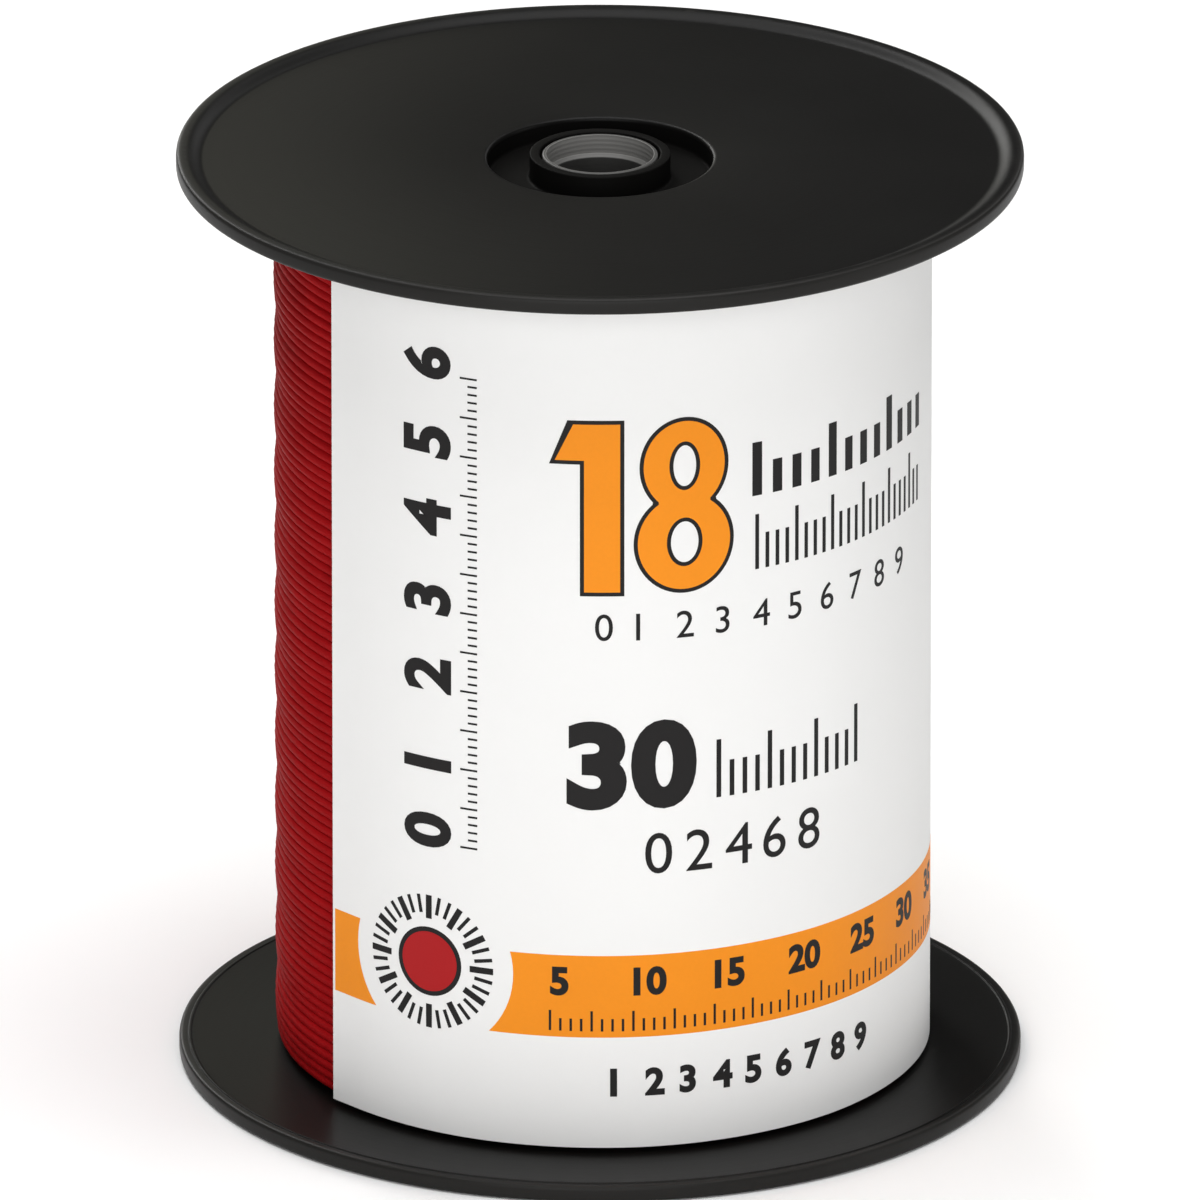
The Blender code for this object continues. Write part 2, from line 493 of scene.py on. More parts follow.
def rounded(corners, steps=4):
    """A closed outline of (radius, height, rounding) corners, each rounded off."""
    outline = []
    for index, (radius, height, rounding) in enumerate(corners):
        here = Vector((radius, height))
        before = Vector(corners[index - 1][:2]) - here
        after = Vector(corners[(index + 1) % len(corners)][:2]) - here
        if rounding == 0.0:
            outline.append(here)
            continue
        reach = min(rounding, before.length / 2, after.length / 2)
        first = here + before.normalized() * reach
        last = here + after.normalized() * reach
        for step in range(steps + 1):
            t = step / steps
            outline.append(first * (1 - t) ** 2 + here * (2 * t * (1 - t)) + last * t ** 2)
    return outline


def turned(name, outline, steps, material):
    """A smooth solid from a closed outline turned right round the Z axis."""
    builder = bmesh.new()
    rings = []
    for step in range(steps):
        turn = math.tau * step / steps
        rings.append([builder.verts.new((r * math.cos(turn), r * math.sin(turn), z))
                      for r, z in outline])
    for step, ring in enumerate(rings):
        following = rings[(step + 1) % steps]
        for index in range(len(outline)):
            beyond = (index + 1) % len(outline)
            builder.faces.new((ring[index], following[index], following[beyond], ring[beyond]))
    bmesh.ops.recalc_face_normals(builder, faces=builder.faces)
    mesh = bpy.data.meshes.new(name)
    builder.to_mesh(mesh)
    builder.free()
    return smooth(mesh, material)


# Flanges

# Shape of the bead, where the flange changes its finish, and the band of painted light on the outer
# rim, as distances in metres
BEAD_FULLNESS = 1.9
CREST_SPREAD = 0.0011
PAINTED_RIM_WIDTH = 0.0009
PAINTED_RIM_FADE = 0.0006
ZONE_MARGIN = 0.00001


def bead(sizes, points=14):
    """The raised bead from the web up to its crest, as corners of the flange's outline."""
    foot = SPOOL_RADIUS - sizes.bead_width
    crest = SPOOL_RADIUS - sizes.bead_crest
    corners = []
    for step in range(points + 1):
        across = step / points
        rise = math.sin(math.pi / 2 * across) ** BEAD_FULLNESS
        corners.append((foot + (crest - foot) * across, sizes.web_sink * (1 - rise), 0.0))
    return corners


def flange_outline(sizes):
    """Outline of a flange, with its heights measured inwards from its outer face."""
    hub_bore = SLEEVE_RADIUS + SEAT_GAP
    hub = hub_bore + sizes.hub_wall
    hub_end = sizes.hub_setback + sizes.hub_length
    recess = sizes.recess_radius
    floor = sizes.web_sink + sizes.recess_depth
    back = floor + sizes.web_thickness
    ring = SPOOL_RADIUS - sizes.ring_inset
    ring_half = sizes.ring_height * 2
    spigot = BARREL_RADIUS - BARREL_WALL - SEAT_GAP
    spigot_end = RIM_HEIGHT + sizes.spigot_length
    small = sizes.small_round

    corners = [(hub_bore, hub_end, 0.0), (hub_bore, sizes.hub_setback, small)]
    corners += [(hub, sizes.hub_setback, small), (hub, floor, small * 2)]
    corners += [(recess, floor, small * 2), (recess, sizes.web_sink, sizes.recess_round)]
    corners += bead(sizes)
    corners += [(SPOOL_RADIUS, 0.0, sizes.bead_crest)]
    corners += [(SPOOL_RADIUS, RIM_HEIGHT, sizes.edge_round)]
    corners += [(ring + ring_half, RIM_HEIGHT, small / 4)]
    corners += [(ring + ring_half / 2, RIM_HEIGHT + sizes.ring_height, small / 4)]
    corners += [(ring - ring_half / 2, RIM_HEIGHT + sizes.ring_height, small / 4)]
    corners += [(ring - ring_half, RIM_HEIGHT, small / 4)]
    corners += [(spigot, RIM_HEIGHT, small), (spigot, spigot_end, small * 2)]
    corners += [(spigot - sizes.spigot_wall, spigot_end, small * 2)]
    corners += [(spigot - sizes.spigot_wall, RIM_HEIGHT, small)]
    corners += [(recess + sizes.web_thickness, RIM_HEIGHT, small)]
    corners += [(recess + sizes.web_thickness, back, small * 2)]
    corners += [(hub, back, small * 2), (hub, hub_end, 0.0)]
    return rounded(corners)


def black_moulding(sizes):
    """Black moulded plastic with faint turned marks, a fine grain, scuffs near the crest, and
    painted light: the outer rim is painted paler than the web.
    """
    finish = Finish("black_moulded_plastic")
    mottle = finish.noise(55.0, finish.place, 4.0, 0.6)
    grain = finish.noise(2600.0, finish.place, 2.0)
    ringed = finish.joined(finish.radius, finish.z, 0.0)
    marks = finish.noise(900.0, ringed, 3.0, 0.6)
    crest = SPOOL_RADIUS - sizes.bead_crest
    near_crest = 1.0 - ((finish.radius - crest).size() / CREST_SPREAD).least(1.0)
    patches = finish.ramp(finish.noise(420.0, finish.place, 5.0, 0.7), (0.50, 0.0), (0.68, 1.0))
    scuffs = near_crest * patches
    body = finish.blend(mottle, tint(sizes.plastic, 0.85), tint(sizes.plastic, 1.2))
    # Painted light: the outer wall of the rim is painted paler than the web, standing in for the
    # lamps' light on it. The scuffs near the crest are wear.
    from_edge = finish.radius - (SPOOL_RADIUS - PAINTED_RIM_WIDTH)
    painted_lit = (from_edge / PAINTED_RIM_FADE).most(0.0).least(1.0)
    with_painted_light = finish.blend(painted_lit, body, tint(sizes.plastic, sizes.rim_lift))
    wear_and_painted_light = finish.blend(scuffs * 0.6, with_painted_light, tint(sizes.plastic, 2.6))
    rough = 0.33 + marks * 0.04 + mottle * 0.05 + near_crest * 0.04 + scuffs * 0.10
    normal = finish.relief(marks, 0.000005, finish.relief(grain, 0.000006))
    return finish.set(BaseColor=wear_and_painted_light, Roughness=rough, Normal=normal, SpecularIORLevel=0.12)


def dull_moulding(sizes):
    """The same plastic where the mould is left unpolished: in the recess and on the hub."""
    finish = Finish("dull_moulded_plastic")
    mottle = finish.noise(90.0, finish.place, 4.0, 0.6)
    grain = finish.noise(3400.0, finish.place, 3.0)
    body = finish.blend(mottle, tint(sizes.plastic, 0.8), tint(sizes.plastic, 1.2))
    return finish.set(BaseColor=body, Roughness=0.46 + mottle * 0.1,
                      Normal=finish.relief(grain, 0.000008), SpecularIORLevel=0.03)


def moulding(name, outline, sizes, polished, dull):
    """A flange turned from its outline, polished outside the recess and dull inside it."""
    mesh = turned(name, outline, sizes.steps, polished)
    mesh.materials.append(dull)
    for face in mesh.polygons:
        centre = face.center
        if math.hypot(centre.x, centre.y) < sizes.recess_radius + ZONE_MARGIN:
            face.material_index = 1
    return mesh


class SPOOL_OT_flanges(bpy.types.Operator):
    """Turn the two moulded flanges"""

    bl_idname = "wire_spool.flanges"
    bl_label = "Flanges"

    def execute(self, context):
        sizes = context.scene.wire_spool.flange
        outline = flange_outline(sizes)
        polished = black_moulding(sizes)
        dull = dull_moulding(sizes)
        lower = moulding("lower", outline, sizes, polished, dull)
        placed("lower_flange_moulding", lower, ["lower_flange"])
        mirrored = [(radius, SPOOL_HEIGHT - height) for radius, height in outline]
        upper = moulding("upper", mirrored, sizes, polished, dull)
        placed("upper_flange_moulding", upper, ["upper_flange"])
        return {"FINISHED"}


# Sleeve and barrel

# How far a zone of the sleeve's painted light and shade reaches past its own radius
SLEEVE_MARGIN = 0.00008


def mouth_wall(sizes, points=6):
    """The wall of a mouth with its turned rings, from the ledge up to the end of the tube."""
    corners = []
    for ring in range(sizes.rings):
        for step in range(points):
            along = (ring + step / points) / sizes.rings
            groove = sizes.ring_depth * (0.5 - 0.5 * math.cos(math.tau * step / points))
            corners.append((sizes.mouth_radius + groove, sizes.mouth_depth * (1 - along), 0.0))
    return corners


def sleeve_outline(sizes):
    """Outline of the whole tube, from one mouth to the other."""
    round_off = sizes.edge_round
    upper = [(sizes.bore_radius, sizes.mouth_depth + sizes.ledge_drop, round_off / 4)]
    upper += mouth_wall(sizes)
    upper += [(sizes.mouth_radius, 0.0, round_off), (SLEEVE_RADIUS, 0.0, round_off)]
    corners = [(radius, SLEEVE_HIGH - depth, rounding) for radius, depth, rounding in upper]
    corners += [(radius, SLEEVE_LOW + depth, rounding)
                for radius, depth, rounding in reversed(upper)]
    return rounded(corners, 3)


def grey_tube(sizes):
    """Grey extruded plastic with fine lines round it, with painted light on the mouth walls and
    painted shade in the bore and on the ends.
    """
    finish = Finish("grey_sleeve_plastic")
    lines = finish.noise(5200.0, finish.joined(0.0, 0.0, finish.z), 2.0)
    mottle = finish.noise(500.0, finish.place, 3.0)
    body = finish.blend(mottle, tint(sizes.plastic, 0.9), tint(sizes.plastic, 1.12))
    # Painted light and shade: the mouth walls are painted paler, and the bore and the ends darker,
    # to stand in for how the lamps light the tube.
    in_bore = finish.radius.maths("LESS_THAN", sizes.bore_radius + SLEEVE_MARGIN)
    on_wall = finish.radius.maths("COMPARE", sizes.mouth_radius, SLEEVE_MARGIN)
    on_end = finish.radius.maths("GREATER_THAN", sizes.mouth_radius + SLEEVE_MARGIN)
    with_painted_light = finish.blend(on_wall, body, tint(sizes.plastic, 1.35))
    wear_and_painted_light = finish.blend(in_bore * 0.8 + on_end * 0.6, with_painted_light, tint(sizes.plastic, 0.08))
    normal = finish.relief(lines, 0.000012)
    return finish.set(BaseColor=wear_and_painted_light, Roughness=0.34 + mottle * 0.12, Normal=normal,
                      SpecularIORLevel=0.3)


def barrel_board(base):
    """Satin black of the hidden barrel tube, with fine lines along it."""
    finish = Finish("black_barrel_tube")
    lines = finish.noise(2200.0, finish.joined(finish.x, finish.y, finish.z * 0.05), 2.0)
    body = finish.blend(lines, tint(base, 0.9), tint(base, 1.4))
    return finish.set(BaseColor=body, Roughness=0.42 + lines * 0.1,
                      Normal=finish.relief(lines, 0.00001))


class SPOOL_OT_bore(bpy.types.Operator):
    """Turn the grey sleeve in the bore and give the barrel tube its finish"""

    bl_idname = "wire_spool.bore"
    bl_label = "Bore sleeve and barrel"

    def execute(self, context):
        settings = context.scene.wire_spool
        tube = turned("tube", sleeve_outline(settings.sleeve), settings.sleeve.steps,
                      grey_tube(settings.sleeve))
        placed("bore_sleeve_tube", tube, ["bore_sleeve"])
        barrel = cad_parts["barrel_tube"]
        board = barrel_board(settings.flange.plastic)
        for slot in barrel.material_slots:
            slot.material = board
        return {"FINISHED"}


# Wound wire


def wind_recipe():
    """Tree that winds one wire into a close spiral, waved as the layers under it lie."""
    recipe = Recipe("wind_wire",
                    floats=("Radius", "Height", "Half Height", "Half Depth", "Wave Depth",
                            "Unevenness"),
                    whole=("Turns", "Points", "Sides", "Waves", "Seed"))
    radius, height, half_height, half_depth = recipe.given(
        "Radius", "Height", "Half Height", "Half Depth")
    wave_depth, unevenness = recipe.given("Wave Depth", "Unevenness")
    turns, points, sides, waves, seed = recipe.given("Turns", "Points", "Sides", "Waves", "Seed")
    spiral = recipe.node("GeometryNodeCurveSpiral", {},
                         {"Resolution": points, "Rotations": turns, "Start Radius": radius,
                          "End Radius": radius, "Height": height})
    place = recipe.node("GeometryNodeInputPosition")
    x, y, z = recipe.split(place)
    outwards = recipe.node("ShaderNodeVectorMath", {"operation": "NORMALIZE"},
                           [recipe.joined(x, y, 0.0)])
    crown = (z / height * waves * math.pi).sine().size()
    stray = recipe.node("ShaderNodeTexNoise", {"noise_dimensions": "4D"},
                        {"Vector": place, "W": seed, "Scale": 70.0, "Detail": 2.0})
    along = recipe.scaled(outwards, (crown - 1.0) * wave_depth - stray * unevenness)
    moved = recipe.node("GeometryNodeSetPosition", {}, {"Geometry": spiral, "Offset": along})
    upright = recipe.node("GeometryNodeSetCurveNormal", {"mode": "Z_UP"}, [moved])
    circle = recipe.node("GeometryNodeCurvePrimitiveCircle", {"mode": "RADIUS"},
                         {"Resolution": sides, "Radius": 1.0})
    section = recipe.node("GeometryNodeTransform", {},
                          {"Geometry": circle,
                           "Scale": recipe.joined(half_depth, half_height, 1.0)})
    wire = recipe.node("GeometryNodeCurveToMesh", {},
                       {"Curve": upright, "Profile Curve": section, "Fill Caps": True})
    shaded = recipe.node("GeometryNodeSetShadeSmooth", {}, [wire])
    return recipe.close(shaded)


def core_outline(sizes):
    """The layers under the outer turns: a ring whose ends show the crowns of the layers."""
    inner = BARREL_RADIUS + SEAT_GAP
    outer = WINDING_RADIUS - sizes.depth - sizes.wave_depth - sizes.unevenness
    crowns = []
    for layer in range(sizes.layers):
        for step in range(CROWN_POINTS):
            part = step / CROWN_POINTS
            sink = sizes.groove * (1.0 - math.sin(math.pi * part))
            crowns.append((inner + (outer - inner) * (layer + part) / sizes.layers, sink))
    crowns.append((outer, sizes.groove))
    low = [(radius, WINDING_LOW + sink) for radius, sink in crowns]
    high = [(radius, WINDING_HIGH - sink) for radius, sink in reversed(crowns)]
    return low + high


def red_insulation(sizes):
    """Red plastic insulation, a little uneven in colour and gloss, with light scuffs."""
    finish = Finish("red_wire_insulation")
    mottle = finish.noise(160.0, finish.place, 4.0, 0.6)
    along = finish.joined(finish.x, finish.y, finish.z * 6.0)
    streaks = finish.noise(420.0, along, 4.0, 0.65)
    scuffs = finish.ramp(streaks, (0.56, 0.0), (0.74, 1.0))
    grain = finish.noise(5000.0, finish.place, 2.0)
    body = finish.blend(mottle, tint(sizes.insulation, 0.80), tint(sizes.insulation, 1.22))
    wear_and_painted_light = finish.blend(scuffs * 0.30, body, tint(sizes.scuffed))
    rough = 0.40 + mottle * 0.08 + scuffs * 0.12
    normal = finish.relief(streaks, 0.00002, finish.relief(grain, 0.000006))
    return finish.set(BaseColor=wear_and_painted_light, Roughness=rough, Normal=normal, SpecularIORLevel=0.008)


class SPOOL_OT_winding(bpy.types.Operator):
    """Wind the wire on the barrel"""

    bl_idname = "wire_spool.winding"
    bl_label = "Wound wire"

    def execute(self, context):
        sizes = context.scene.wire_spool.wire
        insulation = red_insulation(sizes)
        pitch = (WINDING_HIGH - WINDING_LOW) / (sizes.turns + 1)
        half_height = pitch / 2 + sizes.overlap
        height = WINDING_HIGH - WINDING_LOW - 2 * half_height
        wound = wind_recipe().run(
            insulation, radius=WINDING_RADIUS - sizes.depth, height=height,
            half_height=half_height, half_depth=sizes.depth, wave_depth=sizes.wave_depth,
            unevenness=sizes.unevenness, turns=sizes.turns, points=sizes.points,
            sides=sizes.sides, waves=sizes.waves, seed=sizes.seed)
        wound.transform(Matrix.Translation((0.0, 0.0, WINDING_LOW + half_height)))
        placed("wound_wire", wound, ["wire_winding"])
        core = turned("core", core_outline(sizes), CORE_STEPS, insulation)
        placed("wire_layers_inside", core, ["wire_winding"])
        return {"FINISHED"}


# Label

# The two waves of the paper's ripples, in radians per metre, and the shift of the second
RIPPLE_SHORT = 260.0
RIPPLE_LONG = 97.0
RIPPLE_SHIFT = 1.3


def wrap_recipe():
    """Tree that bends a flat sheet, laid along X and up Y, round the winding."""
    recipe = Recipe("wrap_round_winding",
                    floats=("Inner Radius", "Face Radius", "Left", "Right", "Lift",
                            "Lift Length", "Ripple"), takes_mesh=True)
    mesh, inner, face, left, right = recipe.given(
        "Mesh", "Inner Radius", "Face Radius", "Left", "Right")
    lift, lift_length, ripple = recipe.given("Lift", "Lift Length", "Ripple")
    x, y, z = recipe.split(recipe.node("GeometryNodeInputPosition"))
    turn = x / face
    from_end = (x - left).least(right - x).most(0.0)
    curl = (1.0 - (from_end / lift_length).least(1.0)) ** 2.0
    short_wave = (x * RIPPLE_SHORT).sine()
    long_wave = (x * RIPPLE_LONG + RIPPLE_SHIFT).sine()
    swell = short_wave * 0.5 + long_wave * 0.5
    radius = inner + z + curl * lift + (swell + 1.0) * 0.5 * ripple
    wrapped = recipe.joined(radius * turn.sine(), -(radius * turn.cosine()), y)
    moved = recipe.node("GeometryNodeSetPosition", {}, {"Geometry": mesh, "Position": wrapped})
    return recipe.close(moved)


class LabelShape:
    """Where the label lies, and how a flat mesh is wrapped on it."""

    def __init__(self, sizes):
        self.sizes = sizes
        self.face = LABEL_INNER + sizes.thickness
        self.left = -sizes.left_edge * self.face
        self.right = self.left + sizes.wrap * self.face
        self.recipe = wrap_recipe()

    def wrap(self, mesh, material):
        """Bend a flat mesh round the winding."""
        sizes = self.sizes
        made = self.recipe.run(
            material, mesh, inner_radius=LABEL_INNER, face_radius=self.face, left=self.left,
            right=self.right, lift=sizes.lift, lift_length=sizes.lift_length,
            ripple=sizes.ripple)
        return smooth(made)


def sheet(left, right, low, high, thickness, columns, rows):
    """A flat closed sheet of small cells, with its printed face up."""
    builder = bmesh.new()
    faces = []
    for level in (0.0, thickness):
        grid = []
        for column in range(columns + 1):
            along = left + (right - left) * column / columns
            grid.append([builder.verts.new((along, low + (high - low) * row / rows, level))
                         for row in range(rows + 1)])
        faces.append(grid)
    for grid in faces:
        for column in range(columns):
            for row in range(rows):
                builder.faces.new((grid[column][row], grid[column + 1][row],
                                   grid[column + 1][row + 1], grid[column][row + 1]))
    rim = [(column, 0) for column in range(columns)]
    rim += [(columns, row) for row in range(rows)]
    rim += [(column, rows) for column in range(columns, 0, -1)]
    rim += [(0, row) for row in range(rows, 0, -1)]
    bottom, top = faces
    for index, (column, row) in enumerate(rim):
        column_next, row_next = rim[(index + 1) % len(rim)]
        builder.faces.new((bottom[column][row], bottom[column_next][row_next],
                           top[column_next][row_next], top[column][row]))
    bmesh.ops.recalc_face_normals(builder, faces=builder.faces)
    mesh = bpy.data.meshes.new("sheet")
    builder.to_mesh(mesh)
    builder.free()
    return mesh


def label_paper(sizes):
    """White coated paper with a faint fibre and a soft sheen."""
    finish = Finish("white_label_paper")
    fibre = finish.noise(3000.0, finish.joined(finish.x, finish.y, finish.z * 2.0), 4.0, 0.7)
    cloud = finish.noise(45.0, finish.place, 3.0)
    shade = fibre * 0.35 + cloud * 0.65
    body = finish.blend(shade, tint(sizes.paper, 0.965), tint(sizes.paper, 1.03))
    return finish.set(BaseColor=body, Roughness=0.50 + fibre * 0.14,
                      Normal=finish.relief(fibre, 0.000006), SpecularIORLevel=0.35)


class SPOOL_OT_label(bpy.types.Operator):
    """Wrap the paper label round the wire"""

    bl_idname = "wire_spool.label"
    bl_label = "Paper label"

    def execute(self, context):
        sizes = context.scene.wire_spool.label
        shape = LabelShape(sizes)
        flat = sheet(shape.left, shape.right, LABEL_LOW, LABEL_HIGH, sizes.thickness,
                     sizes.columns, sizes.rows)
        placed("paper_label", shape.wrap(flat, label_paper(sizes)), ["label"])
        return {"FINISHED"}


# Print

# Share of the paper's thickness at which the ink starts
INK_START = 0.95


def tick_recipe():
    """Tree that sets upright ticks in a row, with a longer one at a regular count."""
    recipe = Recipe("tick_row", floats=("Spacing", "Width", "Height", "Long Height", "Film"),
                    whole=("Count", "Long Every"))
    spacing, width, height, long_height, film = recipe.given(
        "Spacing", "Width", "Height", "Long Height", "Film")
    amount, long_every = recipe.given("Count", "Long Every")
    row = recipe.node("GeometryNodeMeshLine", {"mode": "OFFSET", "count_mode": "TOTAL"},
                      {"Count": amount, "Offset": recipe.joined(spacing, 0.0, 0.0)})
    block = recipe.node("GeometryNodeMeshCube", {}, {"Size": recipe.joined(width, 1.0, film)})
    stood = recipe.node("GeometryNodeTransform", {},
                        {"Geometry": block, "Translation": recipe.joined(0.0, 0.5, film * 0.5)})
    index = recipe.node("GeometryNodeInputIndex")
    plain = index.maths("MODULO", long_every).least(1.0)
    reach = long_height + (height - long_height) * plain
    ticks = recipe.node("GeometryNodeInstanceOnPoints", {},
                        {"Points": row, "Instance": stood,
                         "Scale": recipe.joined(1.0, reach, 1.0)})
    return recipe.close(ticks)


def dial_recipe():
    """Tree that sets flat ticks round a circle, with a longer one at a regular count."""
    recipe = Recipe("dial_ticks", floats=("Outer Radius", "Width", "Long Width", "Reach",
                                          "Long Reach"), whole=("Count", "Long Every"))
    outer, width, long_width, reach, long_reach = recipe.given(
        "Outer Radius", "Width", "Long Width", "Reach", "Long Reach")
    amount, long_every = recipe.given("Count", "Long Every")
    ring = recipe.node("GeometryNodeMeshCircle", {}, {"Vertices": amount, "Radius": outer})
    plate = recipe.node("GeometryNodeMeshGrid", {},
                        {"Size X": 1.0, "Size Y": 1.0, "Vertices X": 2, "Vertices Y": 2})
    inward = recipe.node("GeometryNodeTransform", {},
                         {"Geometry": plate, "Translation": (-0.5, 0.0, 0.0)})
    x, y = recipe.split(recipe.node("GeometryNodeInputPosition"))[:2]
    turn = y.maths("ARCTAN2", x)
    index = recipe.node("GeometryNodeInputIndex")
    plain = index.maths("MODULO", long_every).least(1.0)
    size = recipe.joined(long_reach + (reach - long_reach) * plain,
                         long_width + (width - long_width) * plain, 1.0)
    ticks = recipe.node("GeometryNodeInstanceOnPoints", {},
                        {"Points": ring, "Instance": inward,
                         "Rotation": recipe.joined(0.0, 0.0, turn), "Scale": size})
    return recipe.close(ticks)


def glyphs(text, weight):
    """Flat outlines of plain numbers, one unit high, made bolder by the weight."""
    curve = bpy.data.curves.new("figures", "FONT")
    curve.body = text
    curve.size = 1.0
    curve.offset = weight
    curve.resolution_u = 6
    carrier = bpy.data.objects.new("figures", curve)
    bpy.context.scene.collection.objects.link(carrier)
    evaluated = carrier.evaluated_get(bpy.context.evaluated_depsgraph_get())
    mesh = bpy.data.meshes.new_from_object(evaluated)
    bpy.data.objects.remove(carrier)
    return mesh


def extent(mesh):
    """Lowest and highest corner of a flat mesh."""
    spots = [vertex.co for vertex in mesh.vertices]
    first = Vector((min(spot.x for spot in spots), min(spot.y for spot in spots), 0.0))
    last = Vector((max(spot.x for spot in spots), max(spot.y for spot in spots), 0.0))
    return first, last


class Plate:
    """The flat shapes of one ink, laid out along the label before they are wrapped."""

    def __init__(self, ink, shape, ticks):
        self.ink = ink
        self.shape = shape
        self.ticks = ticks
        self.flat = bmesh.new()
        self.rows = bmesh.new()

    def level(self, second):
        """Height of a film's face above the paper's inner side."""
        film = self.ink.second_film if second else self.ink.film
        return self.shape.sizes.thickness + film

    def base(self):
        """Height at which a film starts, a little inside the paper."""
        return self.shape.sizes.thickness * INK_START

    def area(self, points, second=True):
        """One filled outline."""
        height = self.level(second)
        corners = [self.flat.verts.new((along, up, height)) for along, up in points]
        face = self.flat.faces.new(corners)
        face.normal_update()
        bmesh.ops.triangulate(self.flat, faces=[face])

    def figures(self, text, left, low, height, weight=0.0, width=None, turn=0.0):
        """Plain numbers that stand on their lower left corner."""
        mesh = glyphs(text, weight)
        first, last = extent(mesh)
        tall = height / (last.y - first.y)
        wide = width / (last.x - first.x) if width else tall
        settle = Matrix.Translation((left, low, self.level(True)))
        settle = settle @ Matrix.Rotation(turn, 4, "Z") @ Matrix.Diagonal((wide, tall, 1.0, 1.0))
        mesh.transform(settle @ Matrix.Translation(-first))
        self.flat.from_mesh(mesh)
        bpy.data.meshes.remove(mesh)

    def ticks_row(self, left, low, turn=0.0, **sizes):
        """A row of ticks that starts at a place and may run up the label."""
        base = self.base()
        film = self.level(True) - base
        mesh = self.ticks.run(None, film=film, **sizes)
        mesh.transform(Matrix.Translation((left, low, base)) @ Matrix.Rotation(turn, 4, "Z"))
        self.rows.from_mesh(mesh)
        bpy.data.meshes.remove(mesh)

    def wrapped(self, name, material):
        """Cut, thicken and wrap all the shapes as one piece."""
        flat = self.flat
        bmesh.ops.remove_doubles(flat, verts=flat.verts, dist=MERGE_DISTANCE)
        step = self.ink.cut
        ends = [vertex.co.x for vertex in flat.verts]
        for index in range(math.ceil(min(ends) / step), math.floor(max(ends) / step) + 1):
            everything = flat.verts[:] + flat.edges[:] + flat.faces[:]
            bmesh.ops.bisect_plane(flat, geom=everything, dist=MERGE_DISTANCE,
                                   plane_co=(index * step, 0.0, 0.0), plane_no=(1.0, 0.0, 0.0))
        outline = [edge for edge in flat.edges if edge.is_boundary]
        under = {vertex: flat.verts.new((vertex.co.x, vertex.co.y, self.base()))
                 for vertex in flat.verts[:] if vertex.link_faces}
        for face in flat.faces[:]:
            flat.faces.new([under[vertex] for vertex in face.verts])
        for first, last in [edge.verts for edge in outline]:
            flat.faces.new((first, last, under[last], under[first]))
        carried = bpy.data.meshes.new("rows")
        self.rows.to_mesh(carried)
        flat.from_mesh(carried)
        bpy.data.meshes.remove(carried)
        bmesh.ops.recalc_face_normals(flat, faces=flat.faces)
        mesh = bpy.data.meshes.new(name)
        flat.to_mesh(mesh)
        self.flat.free()
        self.rows.free()
        return placed(name, self.shape.wrap(mesh, material))


def printed_ink(name, base):
    """Printed ink with a little unevenness in its cover."""
    finish = Finish(name)
    cover = finish.noise(2400.0, finish.place, 4.0, 0.7)
    cloud = finish.noise(120.0, finish.place, 3.0)
    body = finish.blend(cover * 0.5 + cloud * 0.5, tint(base, 0.93), tint(base, 1.08))
    return finish.set(BaseColor=body, Roughness=0.42 + cover * 0.16,
                      Normal=finish.relief(cover, 0.000003), SpecularIORLevel=0.15)


def circle_points(centre, radius, first=0.0, last=math.tau, steps=SWATCH_STEPS):
    """Points on an arc about a place on the label."""
    points = []
    for step in range(steps + 1):
        turn = first + (last - first) * step / steps
        points.append((centre[0] + radius * math.cos(turn), centre[1] + radius * math.sin(turn)))
    return points


# Places of the print on the label: distance along the paper from the front, height
DIAL_CENTRE = (-0.0215, 0.0245)
DIAL_CLEAR = 0.0110
DIAL_TICKS = {"count": 36, "long_every": 3, "outer_radius": 0.0085, "width": 0.00045,
              "long_width": 0.00080, "reach": 0.0023, "long_reach": 0.0030}
SWATCH_RADIUS = 0.0038
SWATCH_RING = 0.0006
NUMBER_LOW = 0.0740
NUMBER_HEIGHT = 0.0214
NUMBER_HALO = 0.0005
BOLD = 0.04

# The 1 of the large number: its left end, the sides of its stem, and its flag
ONE_LEFT = -0.0054
ONE_STEM = (-0.0019, 0.0024)
ONE_FLAG_DEPTH = 0.0046
ONE_FLAG_SLANT = 0.0022
ONE_HALO_REACH = 1.4

# Bowls of its 8: rise of the centre, half width and height, half width and height of the hole
EIGHT_MIDDLE = 0.0102
EIGHT_BOWLS = (
    (0.0060, 0.0057, 0.0060, 0.0022, 0.0031),
    (0.0157, 0.0050, 0.0057, 0.0019, 0.0031),
)

# Rows of figures: the figures, left end, low edge, pitch, height and weight
FIGURE_ROWS = (
    (range(0, 10), -0.0006, 0.0678, 0.0049, 0.0034, 0.0),
    (range(0, 10, 2), 0.0054, 0.0378, 0.0050, 0.0052, 0.0),
    (range(1, 10), 0.0012, 0.0093, 0.0042, 0.0036, BOLD),
)

# Rows of ticks: left end, low edge, count, spacing, width, height and long height
TICK_ROWS = (
    (0.0195, 0.0846, 12, 0.0028, 0.0013, 0.0042, 0.0068),
    (0.0195, 0.0752, 23, 0.0014, 0.0005, 0.0045, 0.0070),
    (0.0145, 0.0468, 13, 0.0017, 0.0006, 0.0046, 0.0074),
)

LONG_TICK_EVERY = 4

# Two bold figures: the figure, left end, low edge, height, weight and width
BOLD_FIGURES = (
    ("3", -0.0040, 0.0461, 0.0114, 0.05, 0.0072),
    ("0", 0.0037, 0.0461, 0.0114, 0.05, 0.0080),
)

# The upright scale at the left
UPRIGHT_FIGURES = {"count": 7, "left": -0.0184, "low": 0.0392, "pitch": 0.0100,
                   "height": 0.0066}
UPRIGHT_TICKS = {"count": 61, "spacing": 0.0010, "width": 0.00025, "height": 0.0012,
                 "long_height": 0.0022, "long_every": 5}
UPRIGHT_START = (-0.0150, 0.0400)

